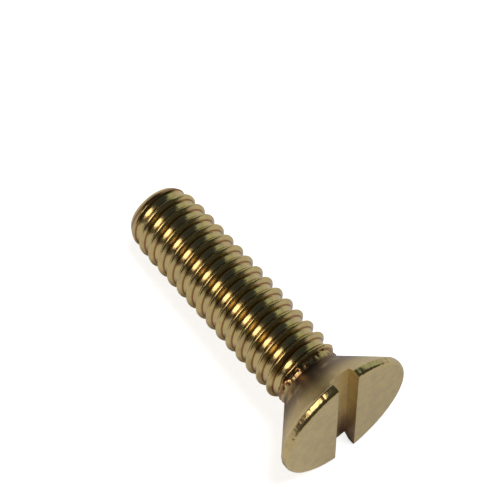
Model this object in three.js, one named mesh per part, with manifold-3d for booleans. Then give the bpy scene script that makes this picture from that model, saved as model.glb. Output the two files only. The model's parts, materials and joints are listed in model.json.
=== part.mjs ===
// Slotted flat-head (countersunk) machine screw, 1/4 inch - 20 UNC by 1 inch, turned and rolled in brass.
// Millimetres, +Z up. The screw lies on its side with its head towards +X: it rests on the crest of its
// first thread and on the two lower corners of the driver slot, where the slot breaks through the rim.
// The screw is first made with its axis along +X, the tip's end face at x = 0 and the slot upright, and
// is then tilted into that rest.
import * as THREE from "three";
import { mergeVertices } from "three/addons/utils/BufferGeometryUtils.js";
import Module from "manifold-3d";

// Shank and thread.
const LENGTH = 24.5; // overall, tip to head face: a flat head screw's length is measured over its head
const PITCH = 1.27; // 20 threads to the inch, right-hand, single start
const CREST_RADIUS = 3.12;
const ROOT_RADIUS = 2.72;
const NECK_RADIUS = 2.7; // where the thread ends against the cone
const CREST_FLAT = 0.16; // axial width of the crest
const ROOT_FLAT = 0.48; // axial width of the root, wide because the thread is shallow
const CREST_AT_TOP = 0.52; // x of the first crest along the top of the screw
const TIP_RADIUS = 2.4; // end face
const CHAMFER_LENGTH = 0.8; // the steep part of the tip
const CHAMFER_RADIUS = 2.84; // where the steep part ends
const TAPER_LENGTH = 2.4; // from the end face to the first crest of full height
const RUN_OUT = 1.2; // axial length over which the last thread sinks to the neck
const NECK_LENGTH = 0.25; // between the end of the thread and the cone

// Head and driver slot.
const HEAD_RADIUS = 5.86;
const CONE_HALF_ANGLE = THREE.MathUtils.degToRad(42); // for an 82 degree countersink
const RIM_LAND = 0.24; // axial width of the cylindrical band round the rim
const RIM_ROUND = 0.22; // radius that blends the band into the cone and into the face
const SLOT_WIDTH = 1.9;
const SLOT_DEPTH = 1.2;

// Fineness of the mesh.
const THREAD_SEGMENTS = 32; // around the thread
const TURNED_SEGMENTS = 64; // around the head, neck and tip
const RIM_STEPS = 4;

const QUARTER_TURN = Math.PI / 2;
const SPARE = 2; // length by which the slot's cutter runs past the surfaces that it cuts
const TRIMMED_TURNS = 3; // turns of thread made beyond each end of the shank and then trimmed off

const wasm = await Module();
wasm.setup();

// The rim's band ends at landEndX and starts at landStartX. The cone is tangent to the round behind it.
const landEndX = LENGTH - RIM_ROUND;
const landStartX = landEndX - RIM_LAND;
const coneTangentX = landStartX - RIM_ROUND * Math.sin(CONE_HALF_ANGLE);
const coneTangentRadius = HEAD_RADIUS - RIM_ROUND + RIM_ROUND * Math.cos(CONE_HALF_ANGLE);
const coneLength = (coneTangentRadius - NECK_RADIUS) / Math.tan(CONE_HALF_ANGLE);
const neckX = coneTangentX - coneLength; // where the cone leaves the neck
const threadEndX = neckX - NECK_LENGTH;

function toSolid(geometry) {
  const bare = geometry.clone();
  bare.deleteAttribute("normal");
  bare.deleteAttribute("uv");
  const merged = mergeVertices(bare, 1e-4);
  const vertProperties = merged.attributes.position.array;
  const triVerts = new Uint32Array(merged.index.array);
  return new wasm.Manifold(new wasm.Mesh({ numProp: 3, vertProperties, triVerts }));
}

function toGeometry(solid) {
  const mesh = solid.getMesh();
  const geometry = new THREE.BufferGeometry();
  geometry.setAttribute("position", new THREE.BufferAttribute(mesh.vertProperties, 3));
  geometry.setIndex(new THREE.BufferAttribute(mesh.triVerts, 1));
  geometry.computeVertexNormals();
  return geometry;
}

// A solid of revolution about the X axis, from (x, radius) points that run from the tip to the head.
function turned(outline) {
  const points = outline.map(([x, radius]) => new THREE.Vector2(radius, x));
  const geometry = new THREE.LatheGeometry(points, TURNED_SEGMENTS);
  geometry.rotateZ(-QUARTER_TURN);
  return toSolid(geometry);
}

// The screw surface alone, longer than the shank at both ends: the thread form swept along the helix. The
// last point of the form is the first one a full turn later, so the strip joins onto itself.
function threadedRod() {
  const flank = (PITCH - CREST_FLAT - ROOT_FLAT) / 2;
  const form = [
    { x: -CREST_FLAT / 2, radius: CREST_RADIUS },
    { x: CREST_FLAT / 2, radius: CREST_RADIUS },
    { x: CREST_FLAT / 2 + flank, radius: ROOT_RADIUS },
    { x: CREST_FLAT / 2 + flank + ROOT_FLAT, radius: ROOT_RADIUS },
  ];
  const turns = 2 * TRIMMED_TURNS + Math.ceil(threadEndX / PITCH);
  const lastStep = turns * THREAD_SEGMENTS;
  const positions = [];
  for (let step = 0; step <= lastStep + THREAD_SEGMENTS; step += 1) {
    const turn = step / THREAD_SEGMENTS;
    const angle = QUARTER_TURN + turn * 2 * Math.PI;
    const crestX = CREST_AT_TOP + (turn - TRIMMED_TURNS) * PITCH;
    form.forEach(({ x, radius }) => {
      positions.push(crestX + x, radius * Math.cos(angle), radius * Math.sin(angle));
    });
  }
  const vertex = (step, point) =>
    point < form.length ? step * form.length + point : (step + THREAD_SEGMENTS) * form.length;
  const faces = [];
  for (let step = 0; step < lastStep; step += 1) {
    for (let point = 0; point < form.length; point += 1) {
      const [a, b] = [vertex(step, point), vertex(step + 1, point)];
      const [c, d] = [vertex(step, point + 1), vertex(step + 1, point + 1)];
      faces.push(a, b, c, b, d, c);
    }
  }
  // Each end is closed by a fan from the axis, once round the end turn and back along the step in it.
  const startEdge = [];
  const endEdge = [];
  for (let segment = 0; segment < THREAD_SEGMENTS; segment += 1) {
    startEdge.push(vertex(segment, 0));
    endEdge.push(vertex(lastStep + THREAD_SEGMENTS - segment, 0));
  }
  for (let point = 0; point < form.length; point += 1) {
    startEdge.push(vertex(0, form.length - point));
    endEdge.push(vertex(lastStep, point));
  }
  [startEdge, endEdge].forEach((edge) => {
    const centre = positions.length / 3;
    positions.push(positions[3 * edge[0]], 0, 0);
    edge.forEach((current, i) => {
      faces.push(centre, edge[(i + 1) % edge.length], current);
    });
  });
  const geometry = new THREE.BufferGeometry();
  geometry.setAttribute("position", new THREE.Float32BufferAttribute(positions, 3));
  geometry.setIndex(faces);
  return toSolid(geometry);
}

// Outline of the crests: chamfered and tapered at the tip, full along the shank, sinking at the run-out.
const crestOutline = [
  [0, TIP_RADIUS],
  [CHAMFER_LENGTH, CHAMFER_RADIUS],
  [TAPER_LENGTH, CREST_RADIUS],
  [threadEndX - RUN_OUT, CREST_RADIUS],
  [threadEndX, NECK_RADIUS],
];

// Neck, cone, rim and flat face. The neck starts inside the last thread's root.
function head() {
  const rim = [];
  const roundRim = (centreX, fromAngle, toAngle) => {
    for (let step = 0; step <= RIM_STEPS; step += 1) {
      const angle = THREE.MathUtils.lerp(fromAngle, toAngle, step / RIM_STEPS);
      const radius = HEAD_RADIUS - RIM_ROUND + RIM_ROUND * Math.cos(angle);
      rim.push([centreX + RIM_ROUND * Math.sin(angle), radius]);
    }
  };
  roundRim(landStartX, -CONE_HALF_ANGLE, 0);
  roundRim(landEndX, 0, QUARTER_TURN);
  return turned([
    [threadEndX - RUN_OUT, 0],
    [threadEndX - RUN_OUT / 2, ROOT_RADIUS],
    [threadEndX, NECK_RADIUS],
    [neckX, NECK_RADIUS],
    ...rim,
    [LENGTH, 0],
  ]);
}

// The straight driver slot, cut right across the head in the upright plane.
function slotCutter() {
  const depth = SLOT_DEPTH + SPARE;
  const geometry = new THREE.BoxGeometry(depth, SLOT_WIDTH, 2 * (HEAD_RADIUS + SPARE));
  geometry.translate(LENGTH - SLOT_DEPTH + depth / 2, 0, 0);
  return toSolid(geometry);
}

const crestEnvelope = turned([[0, 0], ...crestOutline, [threadEndX, 0]]);
const shank = threadedRod().intersect(crestEnvelope);
const screwSolid = shank.add(head()).subtract(slotCutter());

const brass = new THREE.MeshStandardMaterial({
  color: 0xa89568,
  roughness: 0.3,
  metalness: 1,
});

const screw = new THREE.Mesh(toGeometry(screwSolid), brass);
screw.name = "screw";

// The floor touches the rim's band beside the slot, and the point of the shank that it meets first as the
// tip is lowered.
const rimDrop = Math.sqrt(HEAD_RADIUS ** 2 - (SLOT_WIDTH / 2) ** 2);
const points = screw.geometry.attributes.position;
let restTilt = QUARTER_TURN;
for (let i = 0; i < points.count; i += 1) {
  const x = points.getX(i);
  if (x < threadEndX) {
    restTilt = Math.min(restTilt, Math.atan((rimDrop + points.getZ(i)) / (landStartX - x)));
  }
}
screw.rotation.y = -restTilt;

// The origin is under the middle of the lying screw, on the floor.
const lying = new THREE.Group();
lying.add(screw);
lying.updateMatrixWorld(true);
const extent = new THREE.Box3().setFromObject(lying, true);
const middle = extent.getCenter(new THREE.Vector3());
lying.position.set(-middle.x, -middle.y, -extent.min.z);

const group = new THREE.Group();
group.name = "machine_screw";
group.add(lying);

export default group;
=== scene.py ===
"""Looks of a slotted countersunk brass machine screw: rolled thread, turned head and sawn slot.

The screw is made in its own frame, in millimetres: x runs along its axis from the tip's end face to the
head's face, and the driver slot lies in the xz plane. It is then placed where the CAD's mounts say.
"""
import json
import math
from itertools import pairwise

import bmesh
import bpy
from mathutils import Euler, Matrix, Vector, noise


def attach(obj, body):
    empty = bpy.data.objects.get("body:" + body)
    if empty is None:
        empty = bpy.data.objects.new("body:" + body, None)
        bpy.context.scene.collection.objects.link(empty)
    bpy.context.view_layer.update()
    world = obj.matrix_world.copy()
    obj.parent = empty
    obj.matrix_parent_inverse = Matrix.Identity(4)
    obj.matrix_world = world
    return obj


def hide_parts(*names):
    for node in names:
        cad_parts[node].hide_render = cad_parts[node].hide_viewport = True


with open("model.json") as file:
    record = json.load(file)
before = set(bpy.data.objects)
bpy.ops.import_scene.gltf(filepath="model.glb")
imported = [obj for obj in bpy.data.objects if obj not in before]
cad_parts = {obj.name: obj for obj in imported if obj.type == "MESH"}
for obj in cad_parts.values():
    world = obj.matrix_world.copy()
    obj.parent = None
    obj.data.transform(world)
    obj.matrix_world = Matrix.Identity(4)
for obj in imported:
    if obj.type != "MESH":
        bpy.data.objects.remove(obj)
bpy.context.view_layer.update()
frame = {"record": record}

MM = 0.001

# Shank and thread.
LENGTH = 24.5
PITCH = 1.27
CREST_RADIUS = 3.12
ROOT_RADIUS = 2.63
NECK_RADIUS = 2.7
CREST_FLAT = 0.1  # axial width of the crest
CREST_CROWN = 1.5  # curvature of the crest's top, per millimetre
ROOT_FLAT = 0.46
ROOT_HOLLOW = 0.015  # rise of the root's floor from its middle to its edges
CREST_BLEND = 0.012  # how widely the crest and the root blend into the flanks
ROOT_BLEND = 0.018
CREST_AT_TOP = 0.52  # x of the first crest along the top of the screw
TIP_RADIUS = 2.42
TIP_TAPER = 0.85  # the tip's outline closes in on the full crest radius over about this length
TIP_EDGE_DROP = 0.15  # the rounded edge of the end face
TIP_EDGE_LENGTH = 0.035
TIP_DISH = 0.06  # depth of the hollow in the end face
RUN_OUT = 1.2  # axial length over which the last thread sinks to the neck
NECK_LENGTH = 0.25

# Head and driver slot.
HEAD_RADIUS = 5.86
CONE_HALF_ANGLE = math.radians(42)
RIM_LAND = 0.28
RIM_ROUND = 0.28
NICK_DEPTH = 0.07  # at most, in the rim
NECK_FILLET = 0.15
SLOT_WIDTH = 1.9
SLOT_DEPTH = 1.2

# Fineness of the mesh.
COLUMNS = 128  # around the thread
HEAD_COLUMNS = 3 * COLUMNS
ROWS_PER_PITCH = 34
ROW_BUNCHING = 0.45  # 0 spaces the rows evenly

TOP = math.pi / 2
FLANK_SLOPE = 2 * (CREST_RADIUS - ROOT_RADIUS) / (PITCH - CREST_FLAT - ROOT_FLAT)

# Outline of the head, tangent from round to round.
land_end_x = LENGTH - RIM_ROUND
land_start_x = land_end_x - RIM_LAND
cone_end_x = land_start_x - RIM_ROUND * math.sin(CONE_HALF_ANGLE)
cone_end_radius = HEAD_RADIUS - RIM_ROUND * (1 - math.cos(CONE_HALF_ANGLE))
neck_x = cone_end_x - (cone_end_radius - NECK_RADIUS) / math.tan(CONE_HALF_ANGLE)
thread_end_x = neck_x - NECK_LENGTH


# ---------------------------------------------------------------- shape of the surface

def smooth_min(a, b, width):
    """The lesser of a and b, blended over about that width where they are close."""
    return -width * math.log(math.exp(-a / width) + math.exp(-b / width))


def smooth_max(a, b, width):
    return -smooth_min(-a, -b, width)


def smooth_step(start, end, x):
    t = min(max((x - start) / (end - start), 0), 1)
    return t * t * (3 - 2 * t)


def rough(x, angle, radius, size, seed=0):
    """Smooth noise from -1 to 1 on the surface, with lumps of about that size."""
    at = Vector((x, radius * math.cos(angle), radius * math.sin(angle))) / size
    return noise.noise(at + Vector((seed * 7.3, seed * 3.1, 0)))


def crest_x(angle):
    """x of the first crest at that angle about the axis, counted from the top of the screw."""
    return CREST_AT_TOP + PITCH * (angle - TOP) / (2 * math.pi)


def thread_form(offset):
    """Radius of the rolled form at that axial offset from the middle of a crest: a narrow rounded crest,
    straight flanks and a wide, slightly hollow root."""
    crown = CREST_RADIUS - CREST_CROWN * offset**2
    flank = CREST_RADIUS - (abs(offset) - CREST_FLAT / 2) * FLANK_SLOPE
    from_middle = (PITCH / 2 - abs(offset)) / (ROOT_FLAT / 2)
    floor = ROOT_RADIUS + ROOT_HOLLOW * min(from_middle, 1.3) ** 2
    return smooth_max(smooth_min(crown, flank, CREST_BLEND), floor, ROOT_BLEND)


def shank_radius(x, angle):
    """Radius of the whole shank: thread, tapered tip, torn run-out and a slight unevenness everywhere."""
    offset = (x - crest_x(angle) + PITCH / 2) % PITCH - PITCH / 2
    radius = thread_form(offset)
    taper = (CREST_RADIUS - TIP_RADIUS) * math.exp(-x / TIP_TAPER)
    edge = TIP_EDGE_DROP * math.exp(-x / TIP_EDGE_LENGTH)
    radius = smooth_min(radius, CREST_RADIUS - taper - edge, 0.03)
    out = smooth_step(thread_end_x - RUN_OUT, thread_end_x, x)
    torn = 0.12 * out * rough(x, angle, 3, 0.4) + 0.07 * out * rough(x, angle, 3, 0.18, 1)
    radius = radius + (NECK_RADIUS - radius) * out + torn
    return radius + 0.006 * rough(x, angle, 3, 0.8, 2) + 0.005 * rough(x, angle, 3, 0.22, 4)


def row_offset(row):
    """Axial place of a row that follows the thread, from the first crest. Rows bunch at the crests."""
    turn = row / ROWS_PER_PITCH
    return PITCH * (turn - ROW_BUNCHING * math.sin(2 * math.pi * (turn - 0.05)) / (2 * math.pi))


# ---------------------------------------------------------------- mesh

points, faces = [], []


def vertex(x, angle, radius):
    points.append((x, radius * math.cos(angle), radius * math.sin(angle)))
    return len(points) - 1


def ring(x, radius, count):
    """One vertex for each column. radius is a number or a function of (x, angle)."""
    angles = [TOP + 2 * math.pi * i / count for i in range(count)]
    return [vertex(x, a, radius(x, a) if callable(radius) else radius) for a in angles]


def join(lower, upper):
    """Faces between two rings. The upper one may have several vertices for each one of the lower."""
    count, times = len(lower), len(upper) // len(lower)
    for i in range(count):
        near = [upper[(i * times + k) % len(upper)] for k in range(times + 1)]
        faces.append([lower[i], *near, lower[(i + 1) % count]])


def close(edge, x):
    centre = vertex(x, 0, 0)
    for a, b in zip(edge, edge[1:] + edge[:1]):
        faces.append([centre, a, b])


def stitch(left, right):
    """Faces between two columns {row: vertex}, each from one shared row to the next."""
    left_rows, right_rows = sorted(left), sorted(right)
    shared = [row for row in left_rows if row in right]
    for start, end in pairwise(shared):
        along = [left[r] for r in left_rows[left_rows.index(start):left_rows.index(end) + 1]]
        back = [right[r] for r in right_rows[right_rows.index(start):right_rows.index(end) + 1]]
        faces.append(along + back[::-1])


def make_shank():
    """Columns of vertices whose rows follow the helix. Plain rings close both ends. Returns the end rings."""
    start_x, end_x, gap = 0.1, thread_end_x, 0.012
    first = ring(start_x, shank_radius, COLUMNS)
    last = ring(end_x, shank_radius, COLUMNS)
    row_count = math.ceil(end_x / PITCH + 2) * ROWS_PER_PITCH
    columns = []
    for i in range(COLUMNS):
        turn = i / COLUMNS
        angle = TOP + 2 * math.pi * turn
        column = {}
        for row in range(-2 * ROWS_PER_PITCH, row_count):
            x = CREST_AT_TOP + PITCH * turn + row_offset(row)
            if start_x + gap < x < end_x - gap:
                column[row] = vertex(x, angle, shank_radius(x, angle))
        columns.append(column)
    # A full turn on, a row has moved along by one pitch.
    columns.append({row - ROWS_PER_PITCH: v for row, v in columns[0].items()})
    before, after = -10 * ROWS_PER_PITCH, row_count + ROWS_PER_PITCH
    for i, column in enumerate(columns):
        column[before] = first[i % COLUMNS]
        column[after] = last[i % COLUMNS]
    for left, right in pairwise(columns):
        stitch(left, right)
    return first, last


def make_tip(edge):
    """The end face with its small edge round. It is slightly dished, as a rolled blank's end is."""
    for x in (0.06, 0.03, 0.012, 0):
        step = ring(x, shank_radius, COLUMNS)
        join(edge, step)
        edge = step
    for share in (0.94, 0.82, 0.62, 0.4, 0.2):
        step = ring(TIP_DISH * (1 - share), lambda x, a: share * shank_radius(0, a), COLUMNS)
        join(edge, step)
        edge = step
    close(edge, TIP_DISH)


def rim_wear(x, angle):
    """Nicks across the rim and its uneven height."""
    on_rim = smooth_step(cone_end_x - 0.1, land_start_x, x)
    nicks = noise.noise(Vector((angle * 22, x * 1.2, 5)))
    grain = noise.noise(Vector((angle * 60, x * 4, 9)))
    return on_rim * (-NICK_DEPTH * max(nicks - 0.1, 0) + 0.014 * grain)


def worn_radius(x, angle, radius):
    """Radius with the rim's wear and a slight unevenness of the cone, which fades out towards the neck."""
    wave = 0.01 * smooth_step(NECK_RADIUS, 4, radius)
    return radius + rim_wear(x, angle) + wave * rough(x, angle, radius, 1.8, 3)


def make_head(edge):
    """Neck, fillet, cone, rim and face."""
    outline = []
    reach = NECK_FILLET * math.tan(CONE_HALF_ANGLE / 2)
    for step in range(5):
        a = CONE_HALF_ANGLE * step / 4
        x = neck_x - reach + NECK_FILLET * math.sin(a)
        outline.append((x, NECK_RADIUS + NECK_FILLET * (1 - math.cos(a))))
    start_x, start_radius = outline[-1]
    for step in range(1, 16):
        t = step / 16
        x = start_x + (cone_end_x - start_x) * t
        outline.append((x, start_radius + (cone_end_radius - start_radius) * t))
    inner = HEAD_RADIUS - RIM_ROUND
    for step in range(6):
        a = -CONE_HALF_ANGLE * (1 - step / 5)
        outline.append((land_start_x + RIM_ROUND * math.sin(a), inner + RIM_ROUND * math.cos(a)))
    for step in range(1, 5):
        outline.append((land_start_x + RIM_LAND * step / 5, HEAD_RADIUS))
    for step in range(8):
        a = math.pi / 2 * step / 7
        outline.append((land_end_x + RIM_ROUND * math.sin(a), inner + RIM_ROUND * math.cos(a)))
    for x, radius in outline:
        on_face = x > LENGTH - 0.001
        step = ring(x, radius if on_face else lambda x, a: worn_radius(x, a, radius), HEAD_COLUMNS)
        join(edge, step)
        edge = step
    for share in (0.97, 0.9, 0.75, 0.5, 0.25):
        step = ring(LENGTH, inner * share, HEAD_COLUMNS)
        join(edge, step)
        edge = step
    close(edge, LENGTH)


def mesh_object(name, verts, polygons):
    mesh = bpy.data.meshes.new(name)
    mesh.from_pydata(verts, [], polygons)
    mesh.validate()
    made = bpy.data.objects.new(name, mesh)
    bpy.context.scene.collection.objects.link(made)
    return made


def slot_cutter():
    """The saw's path across the head: rounded corners at the floor and slightly broken edges at the face."""
    half, floor_x, corner, broken = SLOT_WIDTH / 2, LENGTH - SLOT_DEPTH, 0.03, 0.03
    side = []
    for step in range(5):
        a = math.pi / 2 * step / 4
        side.append((floor_x + corner * (1 - math.cos(a)), half - corner * (1 - math.sin(a))))
    side += [(LENGTH - broken, half), (LENGTH, half + broken), (LENGTH + 1, half + broken)]
    section = side + [(x, -y) for x, y in reversed(side)]
    reach = HEAD_RADIUS + 1
    verts = [(x, y, z) for z in (-reach, reach) for x, y in section]
    count = len(section)
    polygons = [[i, (i + 1) % count, count + (i + 1) % count, count + i] for i in range(count)]
    polygons += [list(range(count))[::-1], list(range(count, 2 * count))]
    return mesh_object("slot_cutter", verts, polygons)


def place_of_screw():
    """The screw's own frame in the row frame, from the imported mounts."""
    mounts = {m["name"]: m for m in frame["record"]["mounts"]}
    tip = mounts["tip_face"]
    along = -Vector(tip["axis"]).normalized()
    across = Vector((0, 1, 0))
    up = along.cross(across)
    turned = Matrix((along, across, up)).transposed().to_4x4()
    return Matrix.Translation(tip["pos_m"]) @ turned @ Matrix.Scale(MM, 4)


def apply_modifiers(thing):
    shown = thing.evaluated_get(bpy.context.evaluated_depsgraph_get())
    thing.modifiers.clear()
    thing.data = bpy.data.meshes.new_from_object(shown)


def face_outwards(mesh):
    fixed = bmesh.new()
    fixed.from_mesh(mesh)
    bmesh.ops.recalc_face_normals(fixed, faces=fixed.faces)
    fixed.to_mesh(mesh)
    fixed.free()


def make_screw():
    first, last = make_shank()
    make_tip(first)
    make_head(last)
    screw = mesh_object("screw_body", points, faces)
    cutter = slot_cutter()
    face_outwards(screw.data)
    face_outwards(cutter.data)
    cut = screw.modifiers.new("slot", "BOOLEAN")
    cut.operation, cut.solver, cut.object = "DIFFERENCE", "EXACT", cutter
    apply_modifiers(screw)
    bpy.data.objects.remove(cutter)
    mesh = screw.data
    # The materials read where a point is on the screw, in millimetres, from this attribute.
    where = mesh.attributes.new("screw_mm", "FLOAT_VECTOR", "POINT")
    for i, v in enumerate(mesh.vertices):
        where.data[i].vector = v.co
    mesh.transform(place_of_screw())
    mesh.shade_smooth()
    mesh.set_sharp_from_angle(angle=math.radians(35))
    return screw


# ---------------------------------------------------------------- materials

class Nodes:
    """Short names for making and linking nodes."""

    def __init__(self, owner):
        owner.use_nodes = True
        self.tree = owner.node_tree
        self.tree.nodes.clear()

    def make(self, kind, inputs=None, **settings):
        made = self.tree.nodes.new(kind)
        for key, value in settings.items():
            setattr(made, key, value)
        for key, value in (inputs or {}).items():
            socket = made.inputs[key]
            if isinstance(value, bpy.types.NodeSocket):
                self.tree.links.new(value, socket)
            else:
                socket.default_value = value
        return made

    def math(self, operation, a, b=0.0, clamp=False):
        return self.make("ShaderNodeMath", {0: a, 1: b}, operation=operation, use_clamp=clamp).outputs[0]

    def vector(self, operation, a, b):
        return self.make("ShaderNodeVectorMath", {0: a, 1: b}, operation=operation)

    def remap(self, value, low, high, to_low=0.0, to_high=1.0, smooth=True):
        inputs = {"Value": value, "From Min": low, "From Max": high, "To Min": to_low, "To Max": to_high}
        kind = "SMOOTHSTEP" if smooth else "LINEAR"
        return self.make("ShaderNodeMapRange", inputs, interpolation_type=kind).outputs[0]

    def noise(self, at, scale, detail=2.0, roughness=0.5):
        inputs = {"Vector": at, "Scale": scale, "Detail": detail, "Roughness": roughness}
        return self.make("ShaderNodeTexNoise", inputs).outputs["Fac"]

    def mix(self, share, a, b, blend="MIX"):
        made = self.make("ShaderNodeMix", data_type="RGBA", blend_type=blend)
        for name, value in (("Factor_Float", share), ("A_Color", a), ("B_Color", b)):
            socket = next(s for s in made.inputs if s.identifier == name)
            if isinstance(value, bpy.types.NodeSocket):
                self.tree.links.new(value, socket)
            else:
                socket.default_value = value
        return next(s for s in made.outputs if s.identifier == "Result_Color")


def brass_material():
    """Mottled brass, with painted shade: dark red-brown low on the thread's flanks, a dark patch on the cone
    by the neck and a darker lower end of the slot.
    """
    head_brass = (0.76, 0.61, 0.29, 1)
    shank_brass = (0.75, 0.60, 0.26, 1)
    dull = (0.60, 0.47, 0.24, 1)
    blotch_red = (0.62, 0.42, 0.26, 1)
    painted_flank_shade = (0.28, 0.11, 0.035, 1)
    painted_neck_shade = (0.22, 0.145, 0.1, 1)
    painted_slot_shade = (0.3, 0.16, 0.09, 1)

    material = bpy.data.materials.new("brass")
    n = Nodes(material)
    at = n.make("ShaderNodeAttribute", attribute_name="screw_mm").outputs["Vector"]
    split = n.make("ShaderNodeSeparateXYZ", {0: at})
    x, y, z = split.outputs
    radius = n.math("SQRT", n.math("ADD", n.math("MULTIPLY", y, y), n.math("MULTIPLY", z, z)))

    # Where each part of the screw is, from 0 to 1.
    on_shank = n.remap(x, thread_end_x + 0.6, thread_end_x - 0.2)
    past_neck = n.remap(x, neck_x - 0.4, neck_x + 0.1)
    on_cone = n.math("MULTIPLY", past_neck, n.remap(x, neck_x + 2.9, neck_x + 1.1))
    above_root = n.remap(radius, ROOT_RADIUS + 0.04, ROOT_RADIUS + 0.08)
    below_crest = n.remap(radius, CREST_RADIUS - 0.26, CREST_RADIUS - 0.35)
    on_flank = n.math("MULTIPLY", n.math("MULTIPLY", above_root, below_crest), on_shank)
    on_rim = n.remap(radius, HEAD_RADIUS - 0.36, HEAD_RADIUS - 0.24)
    on_rim = n.math("MULTIPLY", on_rim, n.remap(x, LENGTH - 0.01, LENGTH - 0.03))
    between_walls = n.math("LESS_THAN", n.math("ABSOLUTE", y), SLOT_WIDTH / 2 + 0.02)
    in_slot = n.math("MULTIPLY", between_walls, n.math("LESS_THAN", x, LENGTH - 0.04))
    in_slot = n.math("MULTIPLY", in_slot, n.math("GREATER_THAN", x, LENGTH - SLOT_DEPTH - 0.05))

    mottled = n.remap(n.noise(at, 0.9, 4), 0.4, 0.65)
    blotched = n.remap(n.noise(at, 2.2, 5, 0.6), 0.42, 0.62)
    # Painted shade: mottled dark patch on the cone by the neck, where the cone mirrors the shank.
    neck_shade_share = n.math("MULTIPLY", on_cone, n.remap(n.noise(at, 0.7, 4), 0.25, 0.5))
    # Painted shade: the slot grows darker towards its lower end, by the floor.
    slot_shade_share = n.math("MULTIPLY", in_slot, n.remap(z, -0.5, -4.5))
    colour = n.mix(n.math("MULTIPLY", mottled, 0.45), n.mix(on_shank, head_brass, shank_brass), dull)
    colour = n.mix(n.math("MULTIPLY", blotched, 0.3), colour, blotch_red)
    # Painted shade and brass-on-brass reflection: dark red-brown low on the thread's flanks, in the shaded
    # grooves.
    colour = n.mix(n.math("MULTIPLY", on_flank, 0.85), colour, painted_flank_shade)
    # Painted shade on the cone by the neck.
    colour = n.mix(n.math("MULTIPLY", neck_shade_share, 0.95), colour, painted_neck_shade)
    # Painted shade at the slot's lower end.
    colour = n.mix(n.math("MULTIPLY", slot_shade_share, 0.8), colour, painted_slot_shade)

    level = n.remap(on_shank, 0, 1, 0.32, 0.17)
    level = n.math("SUBTRACT", level, n.math("MULTIPLY", on_rim, 0.12))
    roughness = n.math("ADD", level, n.math("MULTIPLY", n.noise(at, 9.0, 3), 0.08))

    grain = n.noise(at, 14.0, 3)
    bump = n.make("ShaderNodeBump", {"Height": grain, "Distance": 0.000004, "Strength": 1.0})
    shader = n.make(
        "ShaderNodeBsdfPrincipled",
        {"Base Color": colour, "Roughness": roughness, "Metallic": 1.0, "Normal": bump.outputs[0]},
    )
    n.make("ShaderNodeOutputMaterial", {"Surface": shader.outputs[0]})
    return material


def floor_material():
    """Pale card. The camera alone sees it brighter, so the studio stays white round the object."""
    material = bpy.data.materials.new("floor")
    n = Nodes(material)
    seen = n.make("ShaderNodeLightPath").outputs["Is Camera Ray"]
    card = n.make("ShaderNodeBsdfDiffuse", {"Color": (0.8, 0.8, 0.82, 1)})
    glow = n.make("ShaderNodeEmission", {"Color": (1, 1, 1, 1), "Strength": n.math("MULTIPLY", seen, 0.77)})
    both = n.make("ShaderNodeAddShader", {0: card.outputs[0], 1: glow.outputs[0]})
    n.make("ShaderNodeOutputMaterial", {"Surface": both.outputs[0]})
    return material


# ---------------------------------------------------------------- stage

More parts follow.
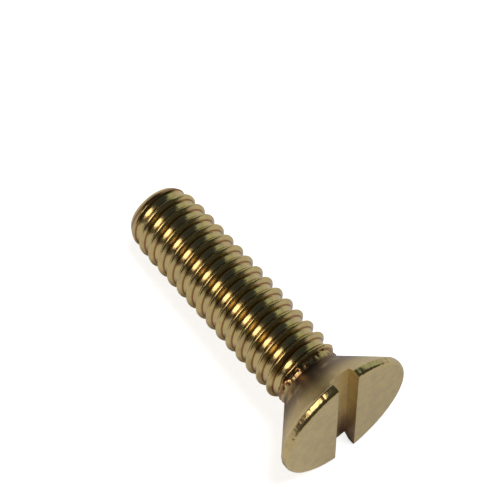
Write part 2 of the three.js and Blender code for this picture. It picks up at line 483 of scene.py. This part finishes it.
def make_studio():
    """The soft boxes and the dark room that the metal reflects. The camera itself sees plain white."""
    world = bpy.data.worlds.new("studio")
    bpy.context.scene.world = world
    n = Nodes(world)
    direction = n.make("ShaderNodeTexCoord").outputs["Generated"]
    height = n.make("ShaderNodeSeparateXYZ", {0: direction}).outputs["Z"]
    light = n.mix(n.remap(height, 0.0, 0.5), (0.03, 0.032, 0.024, 1), (0.05, 0.05, 0.042, 1))
    # Each patch: towards, inner and outer half angle in degrees, colour. Later ones cover earlier ones.
    wall = ((-0.5, 1.0, 0.1), 31, 36, (0.42, 0.48, 0.40, 1))
    near_dark = ((-0.6, -0.8, -0.1), 30, 45, (0.06, 0.05, 0.04, 1))
    dark_ceiling = ((-0.52, 0.35, 0.78), 26, 31, (0.03, 0.038, 0.05, 1))
    soft_box = ((-0.49, -0.6, 0.64), 12, 19, (2.8, 2.4, 1.95, 1))
    for towards, inner, outer, colour in (wall, near_dark, dark_ceiling, soft_box):
        facing = n.vector("DOT_PRODUCT", direction, Vector(towards).normalized()).outputs["Value"]
        share = n.remap(facing, math.cos(math.radians(outer)), math.cos(math.radians(inner)))
        light = n.mix(share, light, colour)
    seen = n.make("ShaderNodeLightPath").outputs["Is Camera Ray"]
    shown = n.mix(seen, light, (0.96, 0.96, 0.96, 1))
    sky = n.make("ShaderNodeBackground", {"Color": shown, "Strength": 1.0})
    n.make("ShaderNodeOutputWorld", {"Surface": sky.outputs[0]})


def make_stage():
    half = 2.0
    floor = mesh_object(
        "floor", [(-half, -half, 0), (half, -half, 0), (half, half, 0), (-half, half, 0)], [[0, 1, 2, 3]]
    )
    floor.data.materials.append(floor_material())
    # Lights the floor softly from above and isn't mirrored in the metal.
    lamp = bpy.data.lights.new("overhead", "AREA")
    lamp.shape, lamp.size, lamp.energy = "DISK", 0.24, 1.2
    overhead = bpy.data.objects.new("overhead", lamp)
    overhead.location = (0.05, 0.11, 0.46)
    overhead.rotation_euler = Vector(overhead.location).to_track_quat("Z", "Y").to_euler()
    overhead.visible_glossy = False
    overhead.visible_camera = False
    bpy.context.scene.collection.objects.link(overhead)


def make_camera():
    """Long lens, high over the head's side of the screw."""
    distance = 0.12507
    azimuth, elevation, roll = math.radians(45.68), math.radians(63.12), math.radians(6.86)
    target = Vector((-0.003519, 0.002803, 0.006269))
    back = Vector((
        math.sin(azimuth) * math.cos(elevation),
        -math.cos(azimuth) * math.cos(elevation),
        math.sin(elevation),
    ))
    camera = bpy.data.objects.new("camera", bpy.data.cameras.new("camera"))
    camera.data.lens = 113.85
    camera.data.sensor_width = 36
    camera.data.clip_start, camera.data.clip_end = 0.001, 10
    camera.rotation_mode = "QUATERNION"
    camera.location = target + back * distance
    camera.rotation_quaternion = (-back).to_track_quat("-Z", "Y") @ Euler((0, 0, roll)).to_quaternion()
    bpy.context.scene.collection.objects.link(camera)
    bpy.context.scene.camera = camera


screw = make_screw()
screw.data.materials.clear()
screw.data.materials.append(brass_material())
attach(screw, "root")
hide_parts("screw")

make_studio()
make_stage()
make_camera()
bpy.context.scene.view_settings.view_transform = "Standard"
